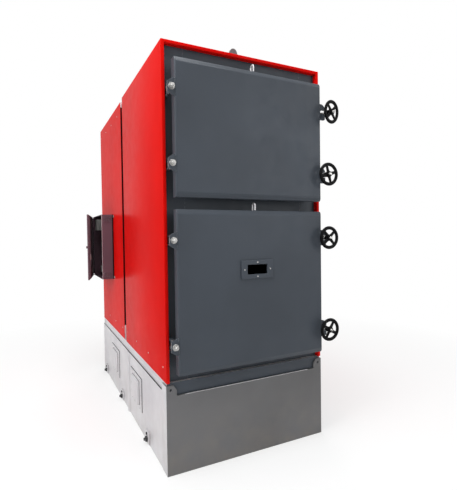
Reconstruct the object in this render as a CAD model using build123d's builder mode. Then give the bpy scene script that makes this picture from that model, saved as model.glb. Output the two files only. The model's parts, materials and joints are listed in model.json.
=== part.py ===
from build123d import *
import os

# Industrial hot-water boiler: red casing on a grey base, two hinged front doors
# with handwheel clamps, and a control cabinet on the left side.
# Millimetres. X runs to the viewer's right, the front faces -Y, Z is up,
# and the origin is on the floor under the middle of the base.

# Casing
width = 1180
depth = 2300
height = 2650
panel = 22                # insulated casing panel, which shows as the red rim
front_panel_length = 1125
panel_seam = 6            # open joint between front and rear panels
rear_panel_drop = 10      # the rear panels stand lower and further in
rear_panel_inset = 4

# Base
base_height = 505
base_wall = 12
base_floor = 10
deck_height = 65
deck_inset = 5
cover_drop = 15           # the cover ends below the deck
ear_rise = 51
ear_width = 45
ear_slope = 20
ear_bevel_drop = 30
ear_hole = 16
ear_hole_in = 26
cover_return = 95         # the cover folds back round both corners
cover_sheet = 2
rib_width = 36
rib_proud = 8
rib_from_front = 1050
hatch_length = 345
hatch_height = 245
hatch_middle = 280
hatch_flange = 5
hatch_raise = 14
hatch_end_margin = 68     # flange left round the raised panel
hatch_edge_margin = 36
hatch_slope = 35          # degrees of the raised panel's sides
hatches_from_front = (785, 1616)
anchor_pad = 84
anchor_pad_corner = 10
anchor_pad_thick = 10
anchor_stud = 32
anchor_stud_long = 24
anchor_height = 48
anchors_from_front = (449, 1307, 2110)

# Front plate and the two mouths in it
front_recess = 35
front_plate = 15
mouth_width = 880
mouth_inset = 92          # each mouth stays inside its door by this at top and bottom

# Water-filled walls round the furnace and the flue passages
jacket = 120
jacket_gap = 8            # insulation between water wall and casing
jacket_rear_gap = 90
slab_inset = 20           # the middle slab stays inside the middle rail
gas_passage = 300
flue_plates = 4
flue_plate = 60
flue_plate_front = 110
flue_plate_rear = 130

# Doors
door_left = -540
door_right = 526
upper_door_tall = 818
upper_door_drop = 132     # below the casing's top
door_gap = 72
lower_door_rise = 66      # above the deck
door_proud = 100          # front face in front of the casing
door_thick = 62
door_bevel = 14           # depth of the sloped border
door_border_side = 13
door_border_end = 30
seal_margin = 50
seal_gap = 0.5
plug_clear = 25
plug_deep = 65
loop_deep = 44
loop_tall = 54
loop_bar = 8
loop_behind_bevel = 2

# Door hinges: eye bolts between frame lugs on an upright pin
hinge_x = -559
hinge_forward = 45        # pin axis in front of the rim
upper_hinge_insets = (198, 181)   # up from the door's bottom, down from its top
lower_hinge_insets = (180, 184)
pin_r = 7
pin_running = 0.05
pin_head = 3
eye_r = 13
eye_height = 36
eye_play = 1
lug_thick = 10
lug_r = 14
lug_arm = 18
stud_r = 9
stud_reach = 86
hinge_plate_thick = 8
hinge_plate_back = 5      # behind the door's front face
hinge_plate_reach = 44
hinge_plate_root = 104
hinge_plate_flat = 9
hinge_plate_tip = 60
hinge_nut = 33
hinge_nut_turn = 30
hinge_nut_thick = 16
hinge_back_nut = 11

# Handwheel clamps: swing bolts through slotted claws on the doors
clamp_x = 552
clamp_pin_forward = 18    # swing pin in front of the rim
upper_clamp_insets = (185, 188)
lower_clamp_insets = (166, 183)
loose_swing = 14          # the top clamp hangs out of its claw
loose_droop = 5
claw_thick = 12
claw_reach = 52
claw_height = 110
claw_slot = 28
claw_nose = 38
claw_heel = 9
claw_behind_bevel = 2
fork_thick = 8
fork_width = 24
fork_gap = 30
fork_reach = 14
fork_play = 0.6
fork_depth_play = 3
bolt_r = 8
bolt_eye_r = 12
bolt_eye_height = 25
bolt_length = 158
collar_r = 17
collar_thick = 18
collar_at = 76
wheel_r = 80
wheel_at = 132            # wheel plane in front of the swing pin
wheel_rim = 22
wheel_rim_deep = 17
wheel_spokes = 5
wheel_turns = (41, 96, 36, 58)    # degrees to a spoke, from the top wheel down
spoke_root = 21
spoke_tip = 15
spoke_thick = 10
hub_r = 20
hub_back = 34
hub_front = 14
hub_running = 0.05

# Sight glass in the lower door
sight_x = -4
sight_drop = 378          # below the lower door's top
sight_width = 232
sight_height = 134
sight_proud = 12
window_width = 155
window_height = 73
frame_corner = 10
glass_thick = 4
glass_play = 0.3
glass_ledge = 6

# Lifting eyes on the roof
eye_plate_wide = 130
eye_plate_tall = 134
eye_plate_thick = 20
eye_plate_hole = 56
eyes_from_ends = 203

# Rear connections
flue_r = 180
flue_wall = 6
flue_long = 160
flue_flange_r = 225
flue_flange = 10
flue_drop = 470           # below the casing's top
pipe_r = 57
pipe_wall = 4.5
pipe_long = 110
flange_r = 110
flange_thick = 20
flange_pcd = 180
flange_holes = 8
flange_hole = 18
flow_drop = 210
return_rise = 190         # above the deck
pipe_x = 380

# Control cabinet on the left side
cabinet_from_front = 1640
cabinet_length = 560
cabinet_bottom = 1063
cabinet_height = 624
cabinet_deep = 110
cabinet_wall = 4
gear_plate = 3
gear_margin = 30
unit_blocks = (((-180, 225), (88, 120, 110)), ((-203, -246), (40, 88, 64)))  # place, then size
gear_rail = (18, 300, 36)
gear_rails_at = (-125, 16)
cabinet_door_thick = 14
cabinet_door_gap = 5
cabinet_door_inset = 4
cabinet_ajar = 11.5
knuckle_r = 6
knuckle_long = 40
knuckle_play = 0.5
knuckle_offset = 8
leaf_thick = 4
leaf_grip = 15
knuckles_from_ends = 70
knob_r = 11
knob_long = 14
knob_inset = 40

# Worked-out places
half_width = width / 2
front = -depth / 2
rear = depth / 2
inner_x = half_width - panel
deck_top = base_height + deck_height
cover_height = base_height - cover_drop
ear_top = base_height + ear_rise
plate_face = front + front_recess
plate_back = plate_face + front_plate
half_mouth = mouth_width / 2
jacket_x = inner_x - jacket_gap
jacket_rear = rear - jacket_rear_gap
flue_rear = jacket_rear - jacket
roof_under = height - panel
seam_y = front + front_panel_length
rear_start = seam_y + panel_seam
rear_side_x = half_width - rear_panel_inset
rear_roof = height - rear_panel_drop
jacket_top = rear_roof - panel - jacket_gap
door_face = front - door_proud
door_back = door_face + door_thick
hinge_y = front - hinge_forward
clamp_y = front - clamp_pin_forward
claw_back = door_face + door_bevel + claw_behind_bevel + claw_thick
hinge_plate_y = (door_face + hinge_plate_back, door_face + hinge_plate_back + hinge_plate_thick)
loop_y = door_face + door_bevel + loop_behind_bevel + loop_deep / 2
upper_door_top = height - upper_door_drop
upper_door = (upper_door_top - upper_door_tall, upper_door_top)
lower_door = (deck_top + lower_door_rise, upper_door[0] - door_gap)
upper_mouth = (upper_door[0] + mouth_inset, upper_door[1] - mouth_inset)
lower_mouth = (lower_door[0] + mouth_inset, lower_door[1] - mouth_inset)
upper_hinges = (upper_door[0] + upper_hinge_insets[0], upper_door[1] - upper_hinge_insets[1])
lower_hinges = (lower_door[0] + lower_hinge_insets[0], lower_door[1] - lower_hinge_insets[1])
upper_clamps = (upper_door[0] + upper_clamp_insets[0], upper_door[1] - upper_clamp_insets[1])
lower_clamps = (lower_door[0] + lower_clamp_insets[0], lower_door[1] - lower_clamp_insets[1])
sight_z = lower_door[1] - sight_drop
flue_z = height - flue_drop
flow_z = height - flow_drop
return_z = deck_top + return_rise

os.makedirs("parts", exist_ok=True)


def keep(part, node):
    """Label a finished piece and write it."""
    part.label = node
    export_step(part, f"parts/{node}.step")


def middle(pair):
    return (pair[0] + pair[1]) / 2


def span(pair):
    return pair[1] - pair[0]


def block(x, y, z):
    """A plain slab between three pairs of faces."""
    with BuildPart(Plane(origin=(middle(x), middle(y), middle(z)))) as slab:
        Box(span(x), span(y), span(z))
    return slab.part


def side_plane(side, y, z):
    """A plane on a base wall that faces outwards: side is -1 left, 1 right."""
    return Plane(origin=(side * half_width, y, z), x_dir=(0, side, 0), z_dir=(side, 0, 0))


# Base: a front cover with two ears, plain side and rear walls, and a deck
with BuildPart() as base_front_cover:
    with BuildSketch(Plane.XZ.offset(-front)):
        with BuildLine():
            Polyline(
                (-half_width, 0),
                (half_width, 0),
                (half_width, ear_top),
                (half_width - ear_width, ear_top),
                (half_width - ear_width - ear_slope, ear_top - ear_bevel_drop),
                (half_width - ear_width - ear_slope, cover_height),
                (ear_slope + ear_width - half_width, cover_height),
                (ear_slope + ear_width - half_width, ear_top - ear_bevel_drop),
                (ear_width - half_width, ear_top),
                (-half_width, ear_top),
                close=True,
            )
        make_face()
        with Locations(
            (ear_hole_in - half_width, ear_top - ear_hole_in),
            (half_width - ear_hole_in, ear_top - ear_hole_in),
        ):
            Circle(ear_hole / 2, mode=Mode.SUBTRACT)
    extrude(amount=-base_wall)
    for side in (-1, 1):
        fold_x = side * (half_width + cover_sheet / 2)
        with Locations((fold_x, front + cover_return / 2, ear_top / 2)):
            Box(cover_sheet, cover_return, ear_top)
keep(base_front_cover.part, "base_front_cover")

wall_y = (front + base_wall, rear - base_wall)
for side, name in ((-1, "left"), (1, "right")):
    wall_x = sorted((side * half_width, side * (half_width - base_wall)))
    keep(block(wall_x, wall_y, (0, base_height)), f"base_{name}_wall")
rear_wall_y = (rear - base_wall, rear)
keep(block((-half_width, half_width), rear_wall_y, (0, base_height)), "base_rear_wall")
floor_x = half_width - base_wall
keep(block((-floor_x, floor_x), wall_y, (0, base_floor)), "base_floor")
deck_x = half_width - deck_inset
deck_y = (front + base_wall, rear - deck_inset)
keep(block((-deck_x, deck_x), deck_y, (base_height, deck_top)), "base_deck")

# Raised covers over the ash openings, one pair on each side
for side, name in ((-1, "left"), (1, "right")):
    with BuildPart() as hatches:
        for from_front in hatches_from_front:
            face = side_plane(side, front + from_front, hatch_middle)
            with BuildSketch(face):
                Rectangle(hatch_length, hatch_height)
            extrude(amount=hatch_flange)
            with BuildSketch(face.offset(hatch_flange)):
                Rectangle(hatch_length - 2 * hatch_end_margin, hatch_height - 2 * hatch_edge_margin)
            extrude(amount=hatch_raise, taper=hatch_slope)
    keep(hatches.part, f"base_{name}_hatches")

# Stiffening ribs and bolted anchor pads on both base walls
with BuildPart() as ribs:
    for side in (-1, 1):
        with BuildSketch(side_plane(side, front + rib_from_front, base_height / 2)):
            Rectangle(rib_width, base_height)
        extrude(amount=rib_proud)
keep(ribs.part, "base_ribs")

with BuildPart() as anchors:
    for side in (-1, 1):
        for from_front in anchors_from_front:
            face = side_plane(side, front + from_front, anchor_height)
            with BuildSketch(face):
                RectangleRounded(anchor_pad, anchor_pad, anchor_pad_corner)
            extrude(amount=anchor_pad_thick)
            with BuildSketch(face.offset(anchor_pad_thick)):
                Circle(anchor_stud / 2)
            extrude(amount=anchor_stud_long)
keep(anchors.part, "base_anchors")

# Front plate: stiles and rails round the two mouths
plate_y = (plate_face, plate_back)
mouth_x = (-half_mouth, half_mouth)
keep(block((-inner_x, -half_mouth), plate_y, (deck_top, roof_under)), "front_stile_left")
keep(block((half_mouth, inner_x), plate_y, (deck_top, roof_under)), "front_stile_right")
keep(block(mouth_x, plate_y, (deck_top, lower_mouth[0])), "front_rail_bottom")
keep(block(mouth_x, plate_y, (lower_mouth[1], upper_mouth[0])), "front_rail_middle")
keep(block(mouth_x, plate_y, (upper_mouth[1], roof_under)), "front_rail_top")

# Water walls, the slab between furnace and flue passages, and the hearth
wall_z = (deck_top, jacket_top)
wall_run = (plate_back, jacket_rear)
keep(block((-jacket_x, -half_mouth), wall_run, wall_z), "water_wall_left")
keep(block((half_mouth, jacket_x), wall_run, wall_z), "water_wall_right")
keep(block(mouth_x, (flue_rear, jacket_rear), wall_z), "water_wall_rear")
inside_y = (plate_back, flue_rear)
keep(block(mouth_x, inside_y, (upper_mouth[1], jacket_top)), "water_crown")
slab_z = (lower_mouth[1] + slab_inset, upper_mouth[0] - slab_inset)
keep(block(mouth_x, (plate_back, flue_rear - gas_passage), slab_z), "water_middle")
keep(block(mouth_x, inside_y, (deck_top, lower_mouth[0])), "hearth")

# Upright water plates that part the flue passages
with BuildPart() as plates:
    slot = (mouth_width - flue_plates * flue_plate) / (flue_plates + 1)
    plate_run = (plate_back + flue_plate_front, flue_rear - gas_passage - flue_plate_rear)
    for number in range(flue_plates):
        left = -half_mouth + slot + number * (slot + flue_plate)
        x = left + flue_plate / 2
        z = (slab_z[1], upper_mouth[1])
        with Locations((x, middle(plate_run), middle(z))):
            Box(flue_plate, span(plate_run), span(z))
keep(plates.part, "flue_plates")

# Casing panels
for side, name in ((-1, "left"), (1, "right")):
    front_x = sorted((side * half_width, side * inner_x))
    rear_x = sorted((side * rear_side_x, side * inner_x))
    keep(block(front_x, (front, seam_y), (deck_top, height)), f"casing_{name}_front")
    keep(block(rear_x, (rear_start, rear), (deck_top, rear_roof)), f"casing_{name}_rear")
roof_x = (-inner_x, inner_x)
rear_roof_z = (rear_roof - panel, rear_roof)
keep(block(roof_x, (front, seam_y), (roof_under, height)), "casing_roof_front")
keep(block(roof_x, (rear_start, rear), rear_roof_z), "casing_roof_rear")
keep(block(roof_x, (rear - panel, rear), (deck_top, rear_roof_z[0])), "casing_rear")

# Lifting eyes: arched plates with a shackle hole, across the roof
with BuildPart() as lifting_eyes:
    roofs = ((front + eyes_from_ends, height), (rear - eyes_from_ends, rear_roof))
    for y, z in roofs:
        with BuildSketch(Plane.XZ.offset(-y + eye_plate_thick / 2)):
            arch_z = z + eye_plate_tall - eye_plate_wide / 2
            with Locations((0, middle((z, arch_z)))):
                Rectangle(eye_plate_wide, arch_z - z)
            with Locations((0, arch_z)):
                Circle(eye_plate_wide / 2)
                Circle(eye_plate_hole / 2, mode=Mode.SUBTRACT)
        extrude(amount=-eye_plate_thick)
keep(lifting_eyes.part, "lifting_eyes")

# Hinge lugs on the front plate: two ears above and below each eye bolt
all_hinges = upper_hinges + lower_hinges
ear_gap = eye_height / 2 + eye_play
with BuildPart() as hinge_lugs:
    for z in all_hinges:
        for bottom in (z - ear_gap - lug_thick, z + ear_gap):
            with BuildSketch(Plane.XY.offset(bottom)):
                with Locations((hinge_x, hinge_y)):
                    Circle(lug_r)
                arm_x = hinge_x + lug_r - lug_arm / 2
                with Locations((arm_x, middle((hinge_y, plate_face)))):
                    Rectangle(lug_arm, plate_face - hinge_y)
                with Locations((hinge_x, hinge_y)):
                    Circle(pin_r + pin_running, mode=Mode.SUBTRACT)
            extrude(amount=lug_thick)
keep(hinge_lugs.part, "hinge_lugs")

with BuildPart() as hinge_pins:
    for z in all_hinges:
        lug_top = z + ear_gap + lug_thick
        lug_bottom = z - ear_gap - lug_thick
        with BuildSketch(Plane.XY.offset(lug_bottom - pin_head)):
            with Locations((hinge_x, hinge_y)):
                Circle(pin_r)
        extrude(amount=lug_top - lug_bottom + pin_head)
        with BuildSketch(Plane.XY.offset(lug_top)):
            with Locations((hinge_x, hinge_y)):
                Circle(pin_r + pin_head)
        extrude(amount=pin_head)
keep(hinge_pins.part, "hinge_pins")

# Clamp forks on the front plate: two ears with an open notch for the swing pin
with BuildPart() as clamp_forks:
    for z in upper_clamps + lower_clamps:
        for bottom in (z - fork_gap / 2 - fork_thick, z + fork_gap / 2):
            fork_front = clamp_y - fork_reach
            notch_r = pin_r + fork_play
            with BuildSketch(Plane.XY.offset(bottom)):
                with Locations((clamp_x, middle((fork_front, plate_face)))):
                    Rectangle(fork_width, plate_face - fork_front)
                notch_end = clamp_y + fork_depth_play
                with Locations((clamp_x, notch_end)):
                    Circle(notch_r, mode=Mode.SUBTRACT)
                with Locations((clamp_x, middle((fork_front, notch_end)))):
                    Rectangle(2 * notch_r, notch_end - fork_front, mode=Mode.SUBTRACT)
            extrude(amount=fork_thick)
keep(clamp_forks.part, "clamp_forks")


def door_pan(door):
    """A door leaf with a sloped border round its front face."""
    centre = (middle((door_left, door_right)), middle(door))
    border = Plane.XZ.offset(-(door_face + door_bevel))
    wide = door_right - door_left
    with BuildPart() as pan:
        with BuildSketch(border):
            with Locations(centre):
                Rectangle(wide, span(door))
        extrude(amount=-(door_thick - door_bevel))
        with BuildSketch(border):
            with Locations(centre):
                Rectangle(wide, span(door))
        with BuildSketch(Plane.XZ.offset(-door_face)):
            with Locations(centre):
                Rectangle(wide - 2 * door_border_side, span(door) - 2 * door_border_end)
        loft()
    return pan.part


def door_lining(door, mouth):
    """The seal board behind a leaf and the plug that enters the mouth."""
    seal_face = plate_face - seal_gap
    with BuildPart() as lining:
        with BuildSketch(Plane.XZ.offset(-door_back)):
            with Locations((middle((door_left, door_right)), middle(door))):
                Rectangle(door_right - door_left - 2 * seal_margin, span(door) - 2 * seal_margin)
        extrude(amount=-(seal_face - door_back))
        with BuildSketch(Plane.XZ.offset(-seal_face)):
            with Locations((0, middle(mouth))):
                Rectangle(mouth_width - 2 * plug_clear, span(mouth) - 2 * plug_clear)
        extrude(amount=-plug_deep)
    return lining.part


def door_claws(clamps):
    """Hooked plates on the free edge, each with a slot open to the right."""
    with BuildPart() as claws:
        for z in clamps:
            with BuildSketch(Plane.XZ.offset(-claw_back)):
                with Locations((door_right + claw_reach / 2, z)):
                    Rectangle(claw_reach, claw_height)
                fillet(vertices().group_by(Axis.X)[-1].sort_by(Axis.Y)[-1], claw_nose)
                fillet(vertices().group_by(Axis.X)[-1].sort_by(Axis.Y)[0], claw_heel)
                slot_end = door_right + claw_reach
                with Locations((clamp_x, z)):
                    Circle(claw_slot / 2, mode=Mode.SUBTRACT)
                with Locations((middle((clamp_x, slot_end)), z)):
                    Rectangle(slot_end - clamp_x, claw_slot, mode=Mode.SUBTRACT)
            extrude(amount=claw_thick)
    return claws.part


def hinge_plates(hinges):
    """Tapered plates on the hinged edge, each bored for its eye bolt."""
    plate_root = door_left + door_border_side
    with BuildPart() as plates_on_door:
        for z in hinges:
            with BuildSketch(Plane.XZ.offset(-hinge_plate_y[0])):
                with BuildLine():
                    Polyline(
                        (plate_root, z - hinge_plate_root / 2),
                        (plate_root, z + hinge_plate_root / 2),
                        (door_left - hinge_plate_flat, z + hinge_plate_root / 2),
                        (door_left - hinge_plate_reach, z + hinge_plate_tip / 2),
                        (door_left - hinge_plate_reach, z - hinge_plate_tip / 2),
                        (door_left - hinge_plate_flat, z - hinge_plate_root / 2),
                        close=True,
                    )
                make_face()
                with Locations((hinge_x, z)):
                    Circle(stud_r + eye_play / 2, mode=Mode.SUBTRACT)
            extrude(amount=-hinge_plate_thick)
    return plates_on_door.part


def hinge_bolts(hinges):
    """Eye bolts: an eye on the pin, a stud to the front and a nut each side of the plate."""
    with BuildPart() as bolts:
        for z in hinges:
            with BuildSketch(Plane.XY.offset(z - eye_height / 2)):
                with Locations((hinge_x, hinge_y)):
                    Circle(eye_r)
            extrude(amount=eye_height)
            with BuildSketch(Plane.XZ.offset(-hinge_y)):
                with Locations((hinge_x, z)):
                    Circle(stud_r)
            extrude(amount=stud_reach)
            with BuildSketch(Plane.XZ.offset(-hinge_plate_y[0])):
                with Locations((hinge_x, z)):
                    RegularPolygon(hinge_nut / 2, 6, major_radius=False, rotation=hinge_nut_turn)
            extrude(amount=hinge_nut_thick)
            with BuildSketch(Plane.XZ.offset(-hinge_plate_y[1])):
                with Locations((hinge_x, z)):
                    RegularPolygon(hinge_nut / 2, 6, major_radius=False, rotation=hinge_nut_turn)
            extrude(amount=-hinge_back_nut)
            with BuildSketch(Plane.XY.offset(z - eye_height / 2)):
                with Locations((hinge_x, hinge_y)):
                    Circle(pin_r + pin_running)
            extrude(amount=eye_height, mode=Mode.SUBTRACT)
    return bolts.part


def door_loop(door):
    """The lifting loop on a door's top edge: an arched bar, square to the door."""
    arch_r = loop_deep / 2
    arch_z = door[1] + loop_tall - arch_r
    legs_z = (door[1], arch_z)
    with BuildPart() as loop:
        with BuildSketch(Plane.YZ.offset(-loop_bar / 2)):
            with Locations((loop_y, middle(legs_z))):
                Rectangle(loop_deep, span(legs_z))
            with Locations((loop_y, arch_z)):
                Circle(arch_r)
                Circle(arch_r - loop_bar, mode=Mode.SUBTRACT)
            with Locations((loop_y, middle(legs_z))):
                Rectangle(loop_deep - 2 * loop_bar, span(legs_z), mode=Mode.SUBTRACT)
        extrude(amount=loop_bar)
    return loop.part


doors = (
    ("upper", upper_door, upper_mouth, upper_hinges, upper_clamps),
    ("lower", lower_door, lower_mouth, lower_hinges, lower_clamps),
)
sight_back = door_face + glass_ledge + glass_thick
for name, door, mouth, hinges, clamps in doors:
    leaf = door_pan(door)
    if name == "lower":
        with BuildPart() as sight_recess:
            with BuildSketch(Plane.XZ.offset(-door_face)):
                with Locations((sight_x, sight_z)):
                    Rectangle(window_width, window_height)
            extrude(amount=-(sight_back - door_face))
        leaf = leaf - sight_recess.part
    keep(leaf, f"{name}_door_leaf")
    keep(door_lining(door, mouth), f"{name}_door_lining")
    # The hinge plates end against the leaf's sloped border
    keep(door_claws(clamps) + hinge_plates(hinges) - leaf, f"{name}_door_brackets")
    keep(hinge_bolts(hinges), f"{name}_hinge_bolts")
    keep(door_loop(door), f"{name}_door_loop")

# Sight glass: a raised frame on the lower door with a dark pane sunk behind it
with BuildPart() as sight_frame:
    with BuildSketch(Plane.XZ.offset(-door_face)):
        with Locations((sight_x, sight_z)):
            RectangleRounded(sight_width, sight_height, frame_corner)
            Rectangle(window_width, window_height, mode=Mode.SUBTRACT)
    extrude(amount=sight_proud)
keep(sight_frame.part, "sight_frame")

with BuildPart() as sight_glass:
    with BuildSketch(Plane.XZ.offset(-sight_back)):
        with Locations((sight_x, sight_z)):
            Rectangle(window_width - 2 * glass_play, window_height - 2 * glass_play)
    extrude(amount=glass_thick)
keep(sight_glass.part, "sight_glass")

# Clamps: a swing bolt with its cross pin, and a five-spoked handwheel on it
clamp_heights = sorted(upper_clamps + lower_clamps, reverse=True)
for number, (z, turn) in enumerate(zip(clamp_heights, wheel_turns), 1):
    loose = z == max(clamp_heights)
    swing = Rot(0, 0, loose_swing) if loose else Rot(0, 0, 0)
    droop = Rot(loose_droop, 0, 0) if loose else Rot(0, 0, 0)
    # The pin stays upright in its fork, and the bolt may droop on it
    pin_seat = Pos(clamp_x, clamp_y, z) * swing
    seat = pin_seat * droop
    upright = Plane(seat * Location(Plane.XZ))
    with BuildPart() as clamp_bolt:
        with BuildSketch(upright):
            Circle(bolt_r)
        extrude(amount=bolt_length)
        with BuildSketch(upright.offset(collar_at)):
            Circle(collar_r)
        extrude(amount=collar_thick)
        with BuildSketch(Plane(seat).offset(-bolt_eye_height / 2)):
            Circle(bolt_eye_r)
        extrude(amount=bolt_eye_height)
        with BuildSketch(Plane(pin_seat).offset(-fork_gap / 2 - fork_thick)):
            Circle(pin_r)
        extrude(amount=fork_gap + 2 * fork_thick)
    keep(clamp_bolt.part, f"clamp_bolt_{number}")

    with BuildPart() as handwheel:
        with BuildSketch(Plane(upright.offset(wheel_at).location * Location(Plane.XZ))):
            with Locations((wheel_r - wheel_rim / 2, 0)):
                Rectangle(wheel_rim, wheel_rim_deep)
        wheel_axis = Axis(upright.origin, upright.z_dir)
        revolve(axis=wheel_axis)
        with BuildSketch(upright.offset(wheel_at - hub_back)):
            Circle(hub_r)
        extrude(amount=hub_back + hub_front)
        with BuildSketch(upright.offset(wheel_at - spoke_thick / 2)):
            spoke_end = wheel_r - wheel_rim / 2
            with PolarLocations(0, wheel_spokes, start_angle=turn):
                Polygon(
                    (0, -spoke_root / 2),
                    (spoke_end, -spoke_tip / 2),
                    (spoke_end, spoke_tip / 2),
                    (0, spoke_root / 2),
                    align=None,
                )
        extrude(amount=spoke_thick)
        with BuildSketch(upright.offset(wheel_at - hub_back)):
            Circle(bolt_r + hub_running)
        extrude(amount=hub_back + hub_front, mode=Mode.SUBTRACT)
    keep(handwheel.part, f"handwheel_{number}")

# Rear connections: a flue spigot and two flanged water stubs
with BuildPart() as flue_spigot:
    with BuildSketch(Plane.XZ.offset(-rear)):
        with Locations((0, flue_z)):
            Circle(flue_flange_r)
            Circle(flue_r - flue_wall, mode=Mode.SUBTRACT)
    extrude(amount=-flue_flange)
    with BuildSketch(Plane.XZ.offset(-rear - flue_flange)):
        with Locations((0, flue_z)):
            Circle(flue_r)
            Circle(flue_r - flue_wall, mode=Mode.SUBTRACT)
    extrude(amount=-flue_long)
keep(flue_spigot.part, "flue_spigot")

for node, x, z in (("flow_stub", -pipe_x, flow_z), ("return_stub", pipe_x, return_z)):
    with BuildPart() as stub:
        with BuildSketch(Plane.XZ.offset(-rear)):
            with Locations((x, z)):
                Circle(pipe_r)
        extrude(amount=-pipe_long)
        with BuildSketch(Plane.XZ.offset(-rear - pipe_long)):
            with Locations((x, z)):
                Circle(flange_r)
                with PolarLocations(flange_pcd / 2, flange_holes, start_angle=180 / flange_holes):
                    Circle(flange_hole / 2, mode=Mode.SUBTRACT)
        extrude(amount=-flange_thick)
        with BuildSketch(Plane.XZ.offset(-rear)):
            with Locations((x, z)):
                Circle(pipe_r - pipe_wall)
        extrude(amount=-(pipe_long + flange_thick), mode=Mode.SUBTRACT)
    keep(stub.part, node)

# Control cabinet: an open box on the rear left panel, its gear and its door
cabinet_front = front + cabinet_from_front
cabinet_rear = cabinet_front + cabinet_length
cabinet_top = cabinet_bottom + cabinet_height
cabinet_mouth = -rear_side_x - cabinet_deep
knuckle_x = cabinet_mouth - cabinet_door_gap - cabinet_door_thick
knuckle_y = cabinet_rear + knuckle_offset
knuckle_starts = (cabinet_bottom + knuckles_from_ends, cabinet_top - knuckles_from_ends - knuckle_long)
cabinet_middle = Plane(
    origin=(-rear_side_x, middle((cabinet_front, cabinet_rear)), middle((cabinet_bottom, cabinet_top))),
    x_dir=(0, -1, 0),
    z_dir=(-1, 0, 0),
)
with BuildPart() as cabinet_box:
    with BuildSketch(cabinet_middle):
        Rectangle(cabinet_length, cabinet_height)
    extrude(amount=cabinet_deep)
    with BuildSketch(cabinet_middle.offset(cabinet_wall)):
        Rectangle(cabinet_length - 2 * cabinet_wall, cabinet_height - 2 * cabinet_wall)
    extrude(amount=cabinet_deep - cabinet_wall, mode=Mode.SUBTRACT)
    for start in knuckle_starts:
        with BuildSketch(Plane.XY.offset(start)):
            with Locations((knuckle_x, knuckle_y)):
                Circle(knuckle_r)
            leaf_x = (knuckle_x, cabinet_mouth + leaf_grip)
            with Locations((middle(leaf_x), cabinet_rear + leaf_thick / 2)):
                Rectangle(span(leaf_x), leaf_thick)
        extrude(amount=knuckle_long)
keep(cabinet_box.part, "cabinet_box")

with BuildPart() as cabinet_gear:
    gear_face = cabinet_middle.offset(cabinet_wall)
    with BuildSketch(gear_face):
        Rectangle(cabinet_length - 2 * gear_margin, cabinet_height - 2 * gear_margin)
    extrude(amount=gear_plate)
    with BuildSketch(gear_face.offset(gear_plate)):
        with Locations(*((0, rail_at) for rail_at in gear_rails_at)):
            Rectangle(gear_rail[1], gear_rail[2])
    extrude(amount=gear_rail[0])
keep(cabinet_gear.part, "cabinet_gear")

with BuildPart() as cabinet_units:
    for place, (deep, wide, tall) in unit_blocks:
        with BuildSketch(gear_face.offset(gear_plate)):
            with Locations(place):
                Rectangle(wide, tall)
        extrude(amount=deep)
keep(cabinet_units.part, "cabinet_units")

# The door is drawn shut and then turned open on its knuckles
with BuildPart() as shut_door:
    leaf_x = (knuckle_x, knuckle_x + cabinet_door_thick)
    leaf_y = (cabinet_front, cabinet_rear - cabinet_door_inset)
    leaf_z = (cabinet_bottom, cabinet_top)
    with Locations((middle(leaf_x), middle(leaf_y), middle(leaf_z))):
        Box(span(leaf_x), span(leaf_y), span(leaf_z))
    for start in knuckle_starts:
        with BuildSketch(Plane.XY.offset(start + knuckle_long + knuckle_play)):
            with Locations((knuckle_x, knuckle_y)):
                Circle(knuckle_r)
            strap_y = (cabinet_rear - leaf_grip, knuckle_y)
            with Locations((knuckle_x - leaf_thick / 2, middle(strap_y))):
                Rectangle(leaf_thick, span(strap_y))
        extrude(amount=knuckle_long)
    knob_foot = (knuckle_x, cabinet_front + knob_inset, middle(leaf_z))
    with BuildSketch(Plane(origin=knob_foot, z_dir=(-1, 0, 0))):
        Circle(knob_r)
    extrude(amount=knob_long)
knuckle_axis = Axis((knuckle_x, knuckle_y, 0), (0, 0, 1))
cabinet_door = shut_door.part.rotate(knuckle_axis, -cabinet_ajar)
keep(cabinet_door, "cabinet_door")
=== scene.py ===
import json
import math

import bmesh
import bpy
import numpy as np
from mathutils import Matrix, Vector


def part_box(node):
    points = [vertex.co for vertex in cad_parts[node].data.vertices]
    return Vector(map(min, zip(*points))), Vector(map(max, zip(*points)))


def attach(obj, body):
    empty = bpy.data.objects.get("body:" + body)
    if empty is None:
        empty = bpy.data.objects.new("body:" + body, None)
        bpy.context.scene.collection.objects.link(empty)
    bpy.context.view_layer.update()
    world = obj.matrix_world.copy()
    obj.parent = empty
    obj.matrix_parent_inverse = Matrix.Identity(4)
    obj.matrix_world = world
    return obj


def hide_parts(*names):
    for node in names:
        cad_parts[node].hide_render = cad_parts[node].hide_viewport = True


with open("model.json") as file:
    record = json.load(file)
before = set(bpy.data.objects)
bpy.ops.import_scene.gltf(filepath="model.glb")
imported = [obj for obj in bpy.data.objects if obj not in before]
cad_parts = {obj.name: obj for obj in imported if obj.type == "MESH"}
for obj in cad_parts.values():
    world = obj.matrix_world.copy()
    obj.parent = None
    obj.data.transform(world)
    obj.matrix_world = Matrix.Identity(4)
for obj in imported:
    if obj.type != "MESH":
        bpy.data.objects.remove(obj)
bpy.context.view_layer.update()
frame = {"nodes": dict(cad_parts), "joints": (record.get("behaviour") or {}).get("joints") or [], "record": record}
nodes = frame["nodes"]
joints = {joint["name"]: joint for joint in frame["joints"]}
mounts = {mount["name"]: mount for mount in frame["record"]["mounts"]}
scene = bpy.context.scene
mm = 0.001
sides = ((-1, "left"), (1, "right"))
doorNames = ("upper", "lower")
forward, rearAxis, upAxis = np.array([[0.0, -1.0, 0.0], [0.0, 1.0, 0.0], [0.0, 0.0, 1.0]])


# Sizes written in millimetres, given in metres
def inMm(**sizes):
    def metres(value):
        return tuple(metres(part) for part in value) if isinstance(value, tuple) else value * mm
    return {name: metres(value) for name, value in sizes.items()}


# Shader helpers

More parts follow.
